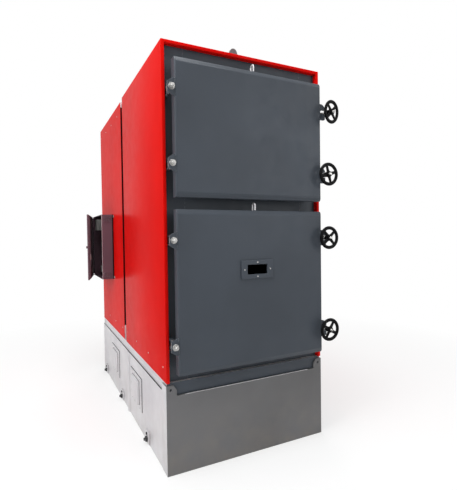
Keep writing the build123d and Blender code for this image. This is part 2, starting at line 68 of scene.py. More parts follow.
def freshTree(owner):
    owner.use_nodes = True
    owner.node_tree.nodes.clear()
    return owner.node_tree


# Adds a shader node with its settings, and fills its inputs with numbers, colours or other nodes' outputs
def addNode(tree, kind, inputs=None, **settings):
    node = tree.nodes.new("ShaderNode" + kind)
    for key, value in settings.items():
        setattr(node, key, value)
    for key, value in (inputs or {}).items():
        socket = node.inputs[key]
        if isinstance(value, bpy.types.NodeSocket):
            tree.links.new(value, socket)
        else:
            socket.default_value = (*value, 1.0) if socket.type == "RGBA" else value
    return node


def startFinish(name):
    material = bpy.data.materials.new(name)
    tree = freshTree(material)
    return material, tree, addNode(tree, "TexCoord").outputs["Object"]


def closeFinish(material, inputs):
    shader = addNode(material.node_tree, "BsdfPrincipled", inputs)
    addNode(material.node_tree, "OutputMaterial", {"Surface": shader.outputs["BSDF"]})
    return material


def noise(tree, place, scale, detail, stretch=None):
    if stretch:
        place = addNode(tree, "Mapping", {"Vector": place, "Scale": stretch}).outputs["Vector"]
    return addNode(tree, "TexNoise", {"Vector": place, "Scale": scale, "Detail": detail}).outputs["Fac"]


def spread(tree, value, low, high, toLow=0.0, toHigh=1.0):
    inputs = {"Value": value, "From Min": low, "From Max": high, "To Min": toLow, "To Max": toHigh}
    return addNode(tree, "MapRange", inputs).outputs["Result"]


def joinValues(tree, operation, first, second):
    return addNode(tree, "Math", {0: first, 1: second}, operation=operation).outputs[0]


def mixColour(tree, factor, first, second):
    return addNode(tree, "Mix", {0: factor, 6: first, 7: second}, data_type="RGBA").outputs[2]


# Rounds the shading of edges by a small radius
def softNormal(tree, radius):
    return addNode(tree, "Bevel", {"Radius": radius}, samples=4).outputs["Normal"]


# How sharp an edge is: how far the rounded normal turns from the flat one
def edgeSharpness(tree, normal):
    flat = addNode(tree, "NewGeometry").outputs["Normal"]
    turn = addNode(tree, "VectorMath", {0: normal, 1: flat}, operation="DOT_PRODUCT").outputs["Value"]
    return spread(tree, turn, 0.995, 0.8)


def raised(tree, height, strength, distance, normal=None):
    inputs = {"Height": height, "Strength": strength, "Distance": distance}
    if normal is not None:
        inputs["Normal"] = normal
    return addNode(tree, "Bump", inputs).outputs["Normal"]


# A painted sheet: two close tones in soft patches, streaks, floor dust, worn edges and fine grain
def paintedSheet(name, look):
    material, tree, place = startFinish(name)
    patches = spread(tree, noise(tree, place, look["patch"], 4.0), 0.38, 0.68)
    colour = mixColour(tree, patches, look["colour"], look["shade"])
    streaks = noise(tree, place, look["streak"], 5.0, (1.0, 1.0, 0.06))
    colour = mixColour(tree, spread(tree, streaks, 0.58, 0.8, 0.0, look["streaked"]), colour, look["dust"])
    height = addNode(tree, "SeparateXYZ", {0: place}).outputs["Z"]
    lowDown = spread(tree, height, look["dustTop"], 0.0, 0.0, look["dusty"])
    cloudy = spread(tree, noise(tree, place, 9.0, 6.0), 0.35, 0.75)
    colour = mixColour(tree, joinValues(tree, "MULTIPLY", lowDown, cloudy), colour, look["dust"])
    normal = softNormal(tree, look["edge"])
    chipped = spread(tree, noise(tree, place, 60.0, 4.0), 0.42, 0.62, 0.0, look["worn"])
    worn = joinValues(tree, "MULTIPLY", edgeSharpness(tree, normal), chipped)
    grain = noise(tree, place, look["grain"], 2.0)
    return closeFinish(material, {
        "Base Color": mixColour(tree, worn, colour, look["bare"]),
        "Roughness": spread(tree, noise(tree, place, 14.0, 5.0), 0.3, 0.7, *look["rough"]),
        "Metallic": look["metal"], "Specular IOR Level": look["shine"],
        "Normal": raised(tree, grain, look["bump"], look["grainDeep"], normal)})


redLook = dict(colour=(0.66, 0.006, 0.004), shade=(0.58, 0.004, 0.003), dust=(0.62, 0.16, 0.13),
    bare=(0.78, 0.12, 0.09), patch=1.3, streak=3.0, streaked=0.03, dustTop=1.0, dusty=0.16, edge=0.003,
    worn=0.55, grain=160.0, grainDeep=0.0001, bump=0.05, rough=(0.28, 0.34), metal=0.0, shine=0.008)
doorLook = dict(colour=(0.05, 0.06, 0.075), shade=(0.042, 0.05, 0.062), dust=(0.13, 0.128, 0.125),
    bare=(0.28, 0.3, 0.32), patch=1.7, streak=4.0, streaked=0.14, dustTop=1.1, dusty=0.1, edge=0.0035,
    worn=0.8, grain=320.0, grainDeep=0.0002, bump=0.12, rough=(0.38, 0.52), metal=0.0, shine=0.24)
coverLook = dict(doorLook, colour=(0.145, 0.145, 0.149), shade=(0.122, 0.121, 0.123),
    dust=(0.2, 0.175, 0.15), dusty=0.45, dustTop=0.45, rough=(0.4, 0.55))
lightLook = dict(colour=(0.62, 0.61, 0.625), shade=(0.54, 0.53, 0.555), dust=(0.42, 0.37, 0.33),
    bare=(0.8, 0.8, 0.8), patch=2.4, streak=5.0, streaked=0.06, dustTop=0.4, dusty=0.35, edge=0.002,
    worn=0.3, grain=90.0, grainDeep=0.0002, bump=0.06, rough=(0.32, 0.46), metal=0.35, shine=0.4)
cabinetLook = dict(doorLook, colour=(0.115, 0.066, 0.086), shade=(0.094, 0.054, 0.070),
    dust=(0.15, 0.11, 0.12), dusty=0.0, rough=(0.42, 0.56), shine=0.2)
pipeLook = dict(doorLook, colour=(0.05, 0.05, 0.054), shade=(0.04, 0.039, 0.04), dust=(0.16, 0.1, 0.065),
    streaked=0.3, rough=(0.5, 0.68))


# A mottled finish: clouds of a second tone, uneven roughness, and fine relief where asked.
# Clouds, scuffs and grain are the scale and detail of a noise.
def mottled(name, look):
    material, tree, place = startFinish(name)
    clouds = spread(tree, noise(tree, place, *look["clouds"]), *look["cloudRange"])
    inputs = {"Base Color": mixColour(tree, clouds, look["colour"], look["shade"]),
        "Roughness": spread(tree, noise(tree, place, *look["scuffs"]), *look["scuffRange"], *look["rough"]),
        "Metallic": look["metal"], "Specular IOR Level": look["shine"]}
    if "relief" in look:
        normal = softNormal(tree, look["edge"]) if "edge" in look else None
        inputs["Normal"] = raised(tree, noise(tree, place, *look["grain"]), *look["relief"], normal)
    return closeFinish(material, inputs)


plainLook = dict(scuffRange=(0.3, 0.7), metal=0.0, shine=0.5)
zincLook = dict(plainLook, colour=(0.5, 0.497, 0.485), shade=(0.35, 0.345, 0.335), clouds=(30.0, 5.0),
    cloudRange=(0.35, 0.68), scuffs=(260.0, 4.0), rough=(0.2, 0.42), metal=1.0,
    grain=(260.0, 4.0), relief=(0.12, 0.0002), edge=0.0008)
wheelLook = dict(plainLook, colour=(0.002, 0.002, 0.0025), shade=(0.006, 0.006, 0.0065), clouds=(18.0, 6.0),
    cloudRange=(0.5, 0.78, 0.0, 0.7), scuffs=(220.0, 3.0), rough=(0.24, 0.36),
    shine=0.07, grain=(160.0, 2.0), relief=(0.06, 0.0004))
sootLook = dict(plainLook, colour=(0.045, 0.042, 0.04), shade=(0.13, 0.065, 0.035), clouds=(5.0, 8.0),
    cloudRange=(0.52, 0.7), scuffs=(40.0, 5.0), rough=(0.62, 0.9), metal=0.25,
    grain=(120.0, 6.0), relief=(0.4, 0.0008))
paneLook = dict(plainLook, colour=(0.002, 0.002, 0.0025), shade=(0.008, 0.006, 0.005), clouds=(22.0, 5.0),
    cloudRange=(0.42, 0.75), scuffs=(22.0, 5.0), scuffRange=(0.42, 0.75), rough=(0.04, 0.2),
    shine=0.12)
gearLook = dict(plainLook, colour=(0.55, 0.56, 0.54), shade=(0.47, 0.47, 0.45), clouds=(12.0, 4.0),
    cloudRange=(0.35, 0.7), scuffs=(1400.0, 2.0), rough=(0.42, 0.58),
    grain=(1400.0, 2.0), relief=(0.2, 0.0001))


# Fibre board: pale, matt, pitted, with scorched patches
def fibreBoard(name, look):
    material, tree, place = startFinish(name)
    scorch = spread(tree, noise(tree, place, 3.0, 6.0), 0.45, 0.72)
    fibre = noise(tree, place, 180.0, 5.0, (1.0, 1.0, 0.3))
    colour = mixColour(tree, scorch, look["colour"], look["scorch"])
    colour = mixColour(tree, spread(tree, fibre, 0.5, 0.75, 0.0, 0.4), colour, look["fibre"])
    return closeFinish(material, {"Base Color": colour, "Roughness": 0.92,
        "Normal": raised(tree, fibre, 0.5, 0.0012)})


boardLook = dict(colour=(0.56, 0.49, 0.4), scorch=(0.24, 0.19, 0.15), fibre=(0.68, 0.63, 0.55))
finishes = {
    "red_casing": paintedSheet("redPowderCoat", redLook),
    "door_grey": paintedSheet("anthraciteDoorPaint", doorLook),
    "base_grey": paintedSheet("baseCoverPaint", coverLook),
    "base_light": paintedSheet("lightBaseSheet", lightLook),
    "cabinet_dark": paintedSheet("cabinetPaint", cabinetLook),
    "pipe_steel": paintedSheet("heatProofPaint", pipeLook),
    "zinc_steel": mottled("zincPlatedSteel", zincLook),
    "wheel_black": mottled("wheelBlackMoulding", wheelLook),
    "refractory": fibreBoard("heatProofBoard", boardLook),
    "boiler_steel": mottled("sootyBoilerPlate", sootLook),
    "dark_glass": mottled("smokedGlass", paneLook),
    "gear_grey": mottled("switchgearHousing", gearLook),
}
slotOf = {row["node"]: row["material_slot"] for row in frame["record"]["subparts"]}
for node, thing in nodes.items():
    for materialSlot in thing.material_slots:
        materialSlot.material = finishes[slotOf[node]]
print("finishes on the CAD nodes:", len(finishes))


# Surface helpers: each gives an array of points and an array of faces

# Joins neighbours on a grid into quads; the columns close round, the rows only where asked
def gridFaces(rows, columns, closeRows=False):
    r, c = np.meshgrid(np.arange(rows if closeRows else rows - 1), np.arange(columns), indexing="ij")
    nextR, nextC = (r + 1) % rows, (c + 1) % columns
    quads = np.stack([r * columns + c, r * columns + nextC, nextR * columns + nextC, nextR * columns + c], -1)
    return quads.reshape(-1, 4)


def unit(vector):
    vector = np.asarray(vector, float)
    return vector / np.linalg.norm(vector)


# Two directions across an axis, the second as near to upright as it can be
def acrossOf(axis):
    axis = unit(axis)
    side = unit(np.cross(upAxis if abs(axis[2]) < 0.9 else rearAxis, axis))
    return side, np.cross(axis, side)


# Evenly spaced angles, and the directions at them round an axis
def ringAround(axis, count):
    side, up = acrossOf(axis)
    angle = np.arange(count) * 2 * np.pi / count
    return angle, np.cos(angle)[:, None] * side + np.sin(angle)[:, None] * up


# Turns a profile of (radius, height) about an axis: point = foot + height along the axis + radius round it.
# With flats, the radius stops at the sides of a hexagon, so chamfers cut its corners.
def turned(profile, foot, axis, count, flats=None, closed=False):
    profile = np.asarray(profile, float)
    angle, ring = ringAround(axis, count)
    radius = np.repeat(profile[:, :1], count, 1)
    if flats:
        radius = np.minimum(radius, flats / 2 / np.cos(np.mod(angle, np.pi / 3) - np.pi / 6))
    points = np.asarray(foot, float) + profile[:, 1, None, None] * unit(axis) + radius[..., None] * ring
    return points.reshape(-1, 3), gridFaces(len(profile), count, closed)


# A rod with eased ends: out from the bore, up and back in
def easedRod(radius, tall, ease, foot, axis, count, bore=0.0):
    profile = [(bore, 0), (radius - ease, 0), (radius, ease), (radius, tall - ease), (radius - ease, tall),
        (bore, tall)]
    return turned(profile, foot, axis, count, None, bore > 0)


def plainRod(radius, tall, foot, axis, count):
    return turned([(0, 0), (radius, 0), (radius, tall), (0, tall)], foot, axis, count)


def washer(radius, thick, bore, foot, axis):
    return easedRod(radius, thick, thick * 0.25, foot, axis, 40, bore)


# Hexagon nut: a turned barrel cut by six flats, chamfered at both ends
def hexNut(flats, thick, bore, foot, axis):
    outer = flats / 2 / math.cos(math.pi / 6)
    trim = 0.18 * flats / 2
    profile = [(bore, 0), (outer - trim, 0), (outer, trim * 0.6), (outer, thick - trim * 0.6),
        (outer - trim, thick), (bore, thick)]
    return turned(profile, foot, axis, 48, flats, True)


# Low dome on a short rim, for rivets and screw heads
def domeHead(radius, tall, foot, axis, count=16):
    t = np.linspace(0, np.pi / 2, 5)
    dome = np.stack([radius * np.cos(t), tall * (0.25 + 0.75 * np.sin(t))], -1)
    return turned(np.vstack([[radius, -0.5 * mm], dome]), foot, axis, count)


# A screw thread: the radius rises and falls once in each pitch along the axis, moving on by one pitch a turn
def threaded(radius, depth, pitch, length, foot, axis, count=20, stepsPerPitch=5):
    rows = max(4, int(length / pitch * stepsPerPitch))
    along = np.linspace(0, length, rows)
    angle, ring = ringAround(axis, count)
    phase = np.mod(along[:, None] / pitch - angle / (2 * np.pi), 1.0)
    taper = np.clip(np.minimum(along, length - along) / pitch, 0, 1)[:, None]
    ridge = np.pad(radius - depth + depth * (1 - np.abs(2 * phase - 1)) * taper, ((1, 1), (0, 0)))
    along = np.concatenate([[0], along, [length]])
    points = foot + along[:, None, None] * unit(axis) + ridge[..., None] * ring
    return points.reshape(-1, 3), gridFaces(rows + 2, count)


# Four quarter turns: their angles, and the signs of the corner that each belongs to
def cornerTurns(steps):
    quarter = np.linspace(0, np.pi / 2, steps)
    angle = np.concatenate([quarter + k * np.pi / 2 for k in range(4)])
    return angle, np.repeat([1, -1, -1, 1], steps), np.repeat([1, 1, -1, -1], steps)


# A slab with rounded edges: a ball's surface cut in eight and its pieces moved apart to the corners
def roundedSlab(low, high, radius, steps=3):
    low, high = np.asarray(low, float), np.asarray(high, float)
    radius = min(radius, 0.499 * (high - low).min())
    turn, signX, signY = cornerTurns(steps)
    rise = np.concatenate([np.linspace(-np.pi / 2, 0, steps), np.linspace(0, np.pi / 2, steps)])[:, None]
    ball = np.broadcast_arrays(np.cos(rise) * np.cos(turn), np.cos(rise) * np.sin(turn), np.sin(rise))
    corner = np.broadcast_arrays(signX, signY, np.repeat([-1, 1], steps)[:, None])
    points = (low + high) / 2 + np.stack(corner, -1) * ((high - low) / 2 - radius) + radius * np.stack(ball, -1)
    cap = np.arange(4) * steps
    faces = [gridFaces(2 * steps, 4 * steps), cap[None, ::-1], cap[None] + 4 * steps * (2 * steps - 1)]
    return points.reshape(-1, 3), np.vstack(faces)


# A slab on one side of the boiler: X runs between two distances outward from a face
def sideSlab(face, side, inner, outer, y, z, radius, steps=3):
    x = sorted((face + side * inner, face + side * outer))
    return roundedSlab((x[0], y[0], z[0]), (x[1], y[1], z[1]), radius, steps)


# A round bar along a path: a circle of given radius at each point, square to the path
def barAlong(path, radius, count, closed=False):
    path = np.asarray(path, float)
    along = np.roll(path, -1, 0) - np.roll(path, 1, 0) if closed else np.gradient(path, axis=0)
    along /= np.linalg.norm(along, axis=1)[:, None]
    reference = unit(np.cross(along[0], along[len(along) // 2]) + np.array([1e-4, 2e-4, 3e-4]))
    side = np.cross(reference, along)
    side /= np.linalg.norm(side, axis=1)[:, None]
    up = np.cross(along, side)
    angle = np.arange(count)[None, :, None] * 2 * np.pi / count
    radius = np.broadcast_to(np.asarray(radius, float), len(path))[:, None, None]
    points = path[:, None] + radius * (np.cos(angle) * side[:, None] + np.sin(angle) * up[:, None])
    points, faces = points.reshape(-1, 3), gridFaces(len(path), count, closed)
    if closed:
        return points, faces
    last, k = len(path) * count, np.arange(count)
    nextK = (k + 1) % count
    start = np.stack([np.full(count, last), nextK, k, k], -1)
    finish = np.stack([np.full(count, last + 1), k, nextK, nextK], -1)
    finish[:, 1:] += last - count
    return np.concatenate([points, path[:1], path[-1:]]), np.vstack([faces, start, finish])


# A weld bead: a bar along a line whose radius ripples once in each pitch
def weldBead(start, end, radius=3.5 * mm, pitch=4 * mm):
    start, end = np.asarray(start, float), np.asarray(end, float)
    length = np.linalg.norm(end - start)
    t = np.linspace(0, 1, max(6, int(length / pitch * 4)))
    ripple = radius * (1 + 0.16 * np.cos(t * length / pitch * 2 * np.pi))
    return barAlong(start + t[:, None] * (end - start), ripple, 8)


def addObject(name, data):
    thing = bpy.data.objects.new(name, data)
    scene.collection.objects.link(thing)
    return thing


# Puts surfaces together as one closed, outward-facing piece that rides on a body
def makePiece(name, surfaces, slot, body="root", replaces=(), sharp=40.0):
    starts = np.cumsum([0] + [len(points) for points, quads in surfaces])
    points = np.vstack([points for points, quads in surfaces])
    faces = np.vstack([quads + start for (_, quads), start in zip(surfaces, starts)])
    mesh = bpy.data.meshes.new(name)
    mesh.from_pydata(points.tolist(), [], [list(dict.fromkeys(face)) for face in faces.tolist()])
    work = bmesh.new()
    work.from_mesh(mesh)
    bmesh.ops.remove_doubles(work, verts=work.verts, dist=1e-6)
    bmesh.ops.dissolve_degenerate(work, edges=work.edges, dist=1e-6)
    bmesh.ops.recalc_face_normals(work, faces=work.faces)
    work.to_mesh(mesh)
    work.free()
    mesh.polygons.foreach_set("use_smooth", np.ones(len(mesh.polygons), bool))
    mesh.set_sharp_from_angle(angle=math.radians(sharp))
    mesh.materials.append(finishes[slot])
    piece = addObject(name, mesh)
    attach(piece, body)
    if replaces:
        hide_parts(*replaces)


def boxOf(node):
    return tuple(np.array(corner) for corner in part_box(node))


def outerFace(node, side):
    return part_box(node)[1 if side > 0 else 0][0]


# Handwheels: an oval rim, four tapering spokes and a long hub, shaped by (share of its radius, height in mm)
wheel = dict(inMm(radius=80, rimWide=24, rimDeep=18, spokeRoot=25, spokeTip=19, spokeThick=11,
    hubRadius=20, bore=8.05), rimSteps=72, ovalSteps=20, spokes=4, spokeSteps=14, turns=(45, 16, 43, 59),
    hubShape=((0.78, -34), (0.84, -32), (0.9, -18), (1, -8), (1, 9), (0.93, 12.5), (0.8, 14)))


# The rim is an oval carried round a circle
def wheelRim(centre, axis, sizes):
    oval = np.arange(sizes["ovalSteps"]) * 2 * np.pi / sizes["ovalSteps"]
    out = sizes["radius"] - sizes["rimWide"] / 2 * (1 - np.cos(oval))
    profile = np.stack([out, sizes["rimDeep"] / 2 * np.sin(oval)], -1)
    return turned(profile, centre, axis, sizes["rimSteps"], None, True)


# A spoke is an oval that narrows along a straight line and flares where it meets hub and rim
def wheelSpoke(centre, axis, angle, sizes):
    side, up = acrossOf(axis)
    outward = math.cos(angle) * side + math.sin(angle) * up
    across = np.cross(axis, outward)
    t = np.concatenate([[0], np.linspace(0, 1, sizes["spokeSteps"]), [1]])[:, None]
    closing = np.concatenate([[0], np.ones(sizes["spokeSteps"]), [0]])[:, None]
    section = np.arange(16) * 2 * np.pi / 16
    root, tip = sizes["hubRadius"] * 0.6, sizes["radius"] - sizes["rimWide"] * 0.6
    flare = 1 + 0.35 * np.exp(-((1 - t) / 0.12) ** 2) + 0.2 * np.exp(-(t / 0.2) ** 2)
    wide = (sizes["spokeRoot"] + (sizes["spokeTip"] - sizes["spokeRoot"]) * t) / 2 * flare * closing
    thick = sizes["spokeThick"] / 2 * closing
    points = (centre + (root + t * (tip - root))[..., None] * outward
        + (wide * np.cos(section))[..., None] * across + (thick * np.sin(section))[..., None] * axis)
    return points.reshape(-1, 3), gridFaces(len(t), 16)


def wheelHub(centre, axis, sizes):
    shape = [(share * sizes["hubRadius"], height * mm) for share, height in sizes["hubShape"]]
    profile = [(sizes["bore"], shape[0][1]), *shape, (sizes["bore"], shape[-1][1])]
    return turned(profile, centre, axis, 36, None, True)


for number, turn in enumerate(wheel["turns"], 1):
    spin = joints[f"wheel_{number}_spin"]
    centre, axis = np.array(spin["pos_m"]), unit(spin["axis"])
    surfaces = [wheelRim(centre, axis, wheel), wheelHub(centre, axis, wheel)]
    for spoke in range(wheel["spokes"]):
        angle = math.radians(turn + spoke * 360 / wheel["spokes"])
        surfaces.append(wheelSpoke(centre, axis, angle, wheel))
    handwheel = f"handwheel_{number}"
    makePiece(f"{handwheel}_moulding", surfaces, "wheel_black", f"wheel_{number}", (handwheel,))
print("handwheels:", len(wheel["turns"]))

# Clamp bolts: a threaded rod with a collar, a pivot eye and an upright pin, both (radius, height, ease)
clamp = inMm(rod=8, length=158, plain=42, threadFrom=40, threadDeep=0.9, pitch=2, eye=(12, 25, 2),
    pin=(7, 46, 1.5), collar=17, collarAt=76, washerThick=3, nutThick=15, flats=28)
for number in range(1, 5):
    axis = unit(joints[f"wheel_{number}_spin"]["axis"])
    pivot = np.array(joints[f"clamp_{number}_swing"]["pos_m"])
    rodUp, rod, bore = acrossOf(axis)[1], clamp["rod"], clamp["rod"] * 0.7
    threadFrom, threadLong = clamp["threadFrom"], clamp["length"] - clamp["threadFrom"]
    collar, nutAt = (pivot + (clamp["collarAt"] + up) * axis for up in (0, clamp["washerThick"]))
    surfaces = [
        easedRod(*clamp["eye"], pivot - rodUp * clamp["eye"][1] / 2, rodUp, 28),
        easedRod(*clamp["pin"], pivot - upAxis * clamp["pin"][1] / 2, upAxis, 24),
        plainRod(rod, clamp["plain"], pivot, axis, 24),
        threaded(rod, clamp["threadDeep"], clamp["pitch"], threadLong, pivot + threadFrom * axis, axis),
        washer(clamp["collar"], clamp["washerThick"], bore, collar, axis),
        hexNut(clamp["flats"], clamp["nutThick"], bore, nutAt, axis),
    ]
    bolt = f"clamp_bolt_{number}"
    makePiece(f"{bolt}_threaded", surfaces, "zinc_steel", f"clamp_{number}", (bolt,))
print("clamp bolts: 4")

# Door hinge bolts: an eye on the pin, a threaded stud to the front, nuts and washers at the plate
hinge = inMm(eye=13, eyeTall=36, ease=2.5, bore=7.05, stud=9, studFrom=10, studLong=76, threadDeep=1.1,
    pitch=2.5, plate=(-1245, -1237), washer=20, washerThick=3, flats=30, frontNut=15, backNut=10)


def hingeHeights(door):
    low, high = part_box(f"{door}_hinge_bolts")
    return low[2] + hinge["eyeTall"] / 2, high[2] - hinge["eyeTall"] / 2


for door in doorNames:
    pin = joints[f"{door}_door_hinge"]["pos_m"]
    tall, bore, bolts = hinge["eyeTall"], hinge["stud"] * 0.7, []
    for z in hingeHeights(door):
        eye, plateFront, plateBack = (np.array([pin[0], y, z]) for y in (pin[1], *hinge["plate"]))
        studFoot, nutFoot = eye + hinge["studFrom"] * forward, plateFront + hinge["washerThick"] * forward
        bolts += [
            easedRod(hinge["eye"], tall, hinge["ease"], eye - upAxis * tall / 2, upAxis, 32, hinge["bore"]),
            threaded(hinge["stud"], hinge["threadDeep"], hinge["pitch"], hinge["studLong"], studFoot, forward),
            washer(hinge["washer"], hinge["washerThick"], bore, plateFront, forward),
            hexNut(hinge["flats"], hinge["frontNut"], bore, nutFoot, forward),
            hexNut(hinge["flats"], hinge["backNut"], bore, plateBack, rearAxis),
        ]
    makePiece(f"{door}_hinge_bolts_threaded", bolts, "zinc_steel", f"{door}_door", (f"{door}_hinge_bolts",))
print("hinge bolts: 4")

# Casing panels: folded sheet with rounded edges, in place of the square slabs, with near-black strips in the
# seams' channels as painted shade
casing = inMm(edge=3.5, channel=84, sheet=3, fold=2.5, run=2, seal=1.2, sealSunk=0.3, sealEase=0.4)


# A folded panel: a chain of (along, out) points is the outer face, a straight line is the inner face,
# and both are carried up from the lower to the upper height
def foldedPanel(chain, innerX, side, low, high):
    along, out = np.asarray(chain, float).T
    count = len(along)
    x = np.concatenate([innerX + side * out, np.full(count, innerX)])
    y = np.concatenate([along, along[::-1]])
    points = np.stack([np.tile(x, 2), np.tile(y, 2), np.repeat([low, high], 2 * count)], -1)
    k = np.arange(count - 1)
    cap = np.stack([k, k + 1, 2 * count - 2 - k, 2 * count - 1 - k], -1)
    return points, np.vstack([gridFaces(2, 2 * count), cap, cap + 2 * count])


# An outward fold is a quarter circle between two straight runs
def quarterTurn(alongStart, outStart, radius, rising):
    angle = np.linspace(0, np.pi / 2, 6)
    rounding, straight = radius * (1 - np.cos(angle)), radius * np.sin(angle)
    if rising:
        return np.stack([alongStart + rounding, outStart + straight], -1)
    return np.stack([alongStart + straight, outStart - rounding], -1)


channelShadeSeals = []
for node in sorted(n for n in nodes if n.startswith("casing_")):
    low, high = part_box(node)
    if node in ("casing_left_rear", "casing_right_rear"):
        side = -1 if node == "casing_left_rear" else 1
        innerX, thick = outerFace(node, -side), high[0] - low[0]
        bend, run, sheet = casing["fold"], casing["run"], casing["sheet"]
        wall, end = low[1] + casing["channel"], high[1]
        chain = np.vstack([[low[1], sheet], [wall - run, sheet], [wall, sheet], [wall, thick - bend - run],
            quarterTurn(wall, thick - bend, bend, True), [wall + bend + run, thick],
            [end - bend - run, thick], quarterTurn(end - bend, thick, bend, False),
            [end, thick - bend - run]])
        surface = foldedPanel(chain, innerX, side, low[2], high[2])
        # Near-black strip on each channel's fold wall: painted shade, standing in for the shadow deep in the
        # seam's gap
        channelShadeSeals.append(sideSlab(innerX, side, sheet, thick - 0.6 * bend,
            (wall - casing["seal"], wall + casing["sealSunk"]),
            (low[2] + bend, high[2] - bend), casing["sealEase"]))
    else:
        surface = roundedSlab(low, high, casing["edge"], 4)
    makePiece(f"{node}_panel", [surface], "red_casing", replaces=(node,))
# The channel strips are painted shade in a near-black finish
makePiece("seam_channel_seals", channelShadeSeals, "wheel_black")

# Rivets along the lower edges of the side panels, the upper edges of the rear ones, and at the rear;
# a row is its panel, whether it is the upper one, and how far it keeps from the panel's front and rear edges
rivet = dict(inMm(head=(6, 2.6), edge=89, rearMargin=50), places=4, rearPlaces=5,
    rows=(("front", False, 64, 31), ("rear", False, 155, 64), ("rear", True, 226, 64)))
sideRivets, rearRivets = [], []
for side, name in sides:
    for part, upper, ahead, behind in rivet["rows"]:
        low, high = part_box(f"casing_{name}_{part}")
        x = outerFace(f"casing_{name}_{part}", side)
        z = high[2] - rivet["edge"] if upper else low[2] + rivet["edge"]
        for y in np.linspace(low[1] + ahead * mm, high[1] - behind * mm, rivet["places"]):
            sideRivets.append(domeHead(*rivet["head"], (x, y, z), (side, 0, 0), 14))
low, high = boxOf("casing_rear")
inLow, inHigh = low + rivet["rearMargin"], high - rivet["rearMargin"]
for x in np.linspace(inLow[0], inHigh[0], rivet["rearPlaces"]):
    for z in (inLow[2], inHigh[2]):
        rearRivets.append(domeHead(*rivet["head"], (x, high[1], z), rearAxis, 14))
makePiece("side_panel_rivets", sideRivets, "zinc_steel")
makePiece("rear_panel_rivets", rearRivets, "zinc_steel")
print("casing panels and rivets:", len(sideRivets) + len(rearRivets))

# Doors: a leaf pressed from sheet, as rings of rounded rectangles from the back to the front
leaf = inMm(corner=2, border=(7, 30), borderDeep=(7, 14), bend=1.5)


# A rounded rectangle ring in the XZ plane: four quarter circles at the corners of a smaller rectangle
def rectangleRing(middle, half, radius, y, steps=4):
    radius = min(radius, half[0], half[1])
    angle, signX, signZ = cornerTurns(steps)
    return np.stack([middle[0] + signX * (half[0] - radius) + radius * np.cos(angle), np.full(4 * steps, y),
        middle[1] + signZ * (half[1] - radius) + radius * np.sin(angle)], -1)


# Rings of (inset in X, inset in Z, Y) joined in turn; a first and a last one shrunk to a line close them flat
def pressedRings(middle, half, rings, corner):
    least = min(half)
    rows = [(least, least, rings[0][2]), *rings, (least, least, rings[-1][2])]
    grid = [rectangleRing(middle, (half[0] - x, half[1] - z), max(corner - min(x, z), 0.0), y)
        for x, z, y in rows]
    return np.concatenate(grid), gridFaces(len(rows), len(grid[0]))


# The middle of a box and half its size, seen from the front
def frontOf(low, high):
    return ((low[0] + high[0]) / 2, (low[2] + high[2]) / 2), ((high[0] - low[0]) / 2, (high[2] - low[2]) / 2)


for door in doorNames:
    low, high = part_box(f"{door}_door_leaf")
    (bx, bz), (dx, dz), bend = leaf["border"], leaf["borderDeep"], leaf["bend"]
    face, back, slope = low[1], high[1], bz / dz
    rings = [(2 * bend, 2 * bend, back), (bend, bend, back), (bend * 0.3, bend * 0.3, back - bend * 0.3),
        (0, 0, back - bend), (0, 0, back - 2 * bend), (0, 0, face + dz + bend), (0, bend * 0.4, face + dz),
        (0, bend * slope, face + dz - bend), (0, (dz - dx - bend) * slope, face + dx + bend),
        (bend * 0.25, (dz - dx) * slope, face + dx), (bend, (dz - dx + bend) * slope, face + dx - bend),
        (bx - bend, bz - bend * slope, face + bend), (bx - bend * 0.3, bz - bend * 0.6, face + bend * 0.3),
        (bx + bend * 0.6, bz + bend, face), (bx + 3 * bend, bz + 3 * bend, face)]
    pan = pressedRings(*frontOf(low, high), rings, leaf["corner"])
    makePiece(f"{door}_door_pan", [pan], "door_grey", f"{door}_door", (f"{door}_door_leaf",), 60.0)
print("door pans")

# Sight glass: a frame with eased edges, a dark pane, four domed screws and a bead of sealant
sight = inMm(tall=118, openTall=63, ease=1.5, lap=3, corner=3, openCorners=(5, 5, 4, 4, 4, 4),
    paneCorner=4, paneRings=(2, 4), screw=(4.6, 2.4), bead=2.4, beadProud=0.8)
frameLow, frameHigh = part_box("sight_frame")
paneLow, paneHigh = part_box("sight_glass")
middle, frameHalf = frontOf(frameLow, frameHigh)
outerHalf = (frameHalf[0], sight["tall"] / 2)
openHalf = ((paneHigh[0] - paneLow[0]) / 2 - sight["lap"], sight["openTall"] / 2)
front, back, ease = frameLow[1], frameHigh[1], sight["ease"]

# The frame is the rings of an outer rectangle, then of the opening in the opposite order, joined front and back
easing = [(0, back), (0, front + 2 * ease), (0, front + ease), (0.3 * ease, front + 0.3 * ease), (ease, front),
    (2 * ease, front)]
frameRings = [rectangleRing(middle, (outerHalf[0] - inset, outerHalf[1] - inset), sight["corner"], y)
    for inset, y in easing]
frameRings += [rectangleRing(middle, (openHalf[0] + grow, openHalf[1] + grow), corner, y)
    for (grow, y), corner in zip(easing[::-1], sight["openCorners"])]
frameSurface = (np.concatenate(frameRings), gridFaces(len(frameRings), len(frameRings[0]), True))
makePiece("sight_frame_pressed", [frameSurface], "door_grey", "lower_door", ("sight_frame",), 60.0)
paneFace, (backIn, faceIn) = paneLow[1], sight["paneRings"]
paneRings = [(backIn, backIn, back), (0, 0, back), (0, 0, paneFace), (faceIn, faceIn, paneFace)]
pane = pressedRings(middle, openHalf, paneRings, sight["paneCorner"])
makePiece("sight_pane", [pane], "dark_glass", "lower_door", ("sight_glass",), 60.0)
insetX, insetZ = (outerHalf[0] + openHalf[0]) / 2, (outerHalf[1] + openHalf[1]) / 2
heads = [domeHead(*sight["screw"], (middle[0] + x, front, middle[1] + z), forward, 18)
    for x, z in ((0, -insetZ), (0, insetZ), (-insetX, 0), (insetX, 0))]
makePiece("sight_frame_screws", heads, "zinc_steel", "lower_door")
beadY = paneFace - sight["beadProud"]
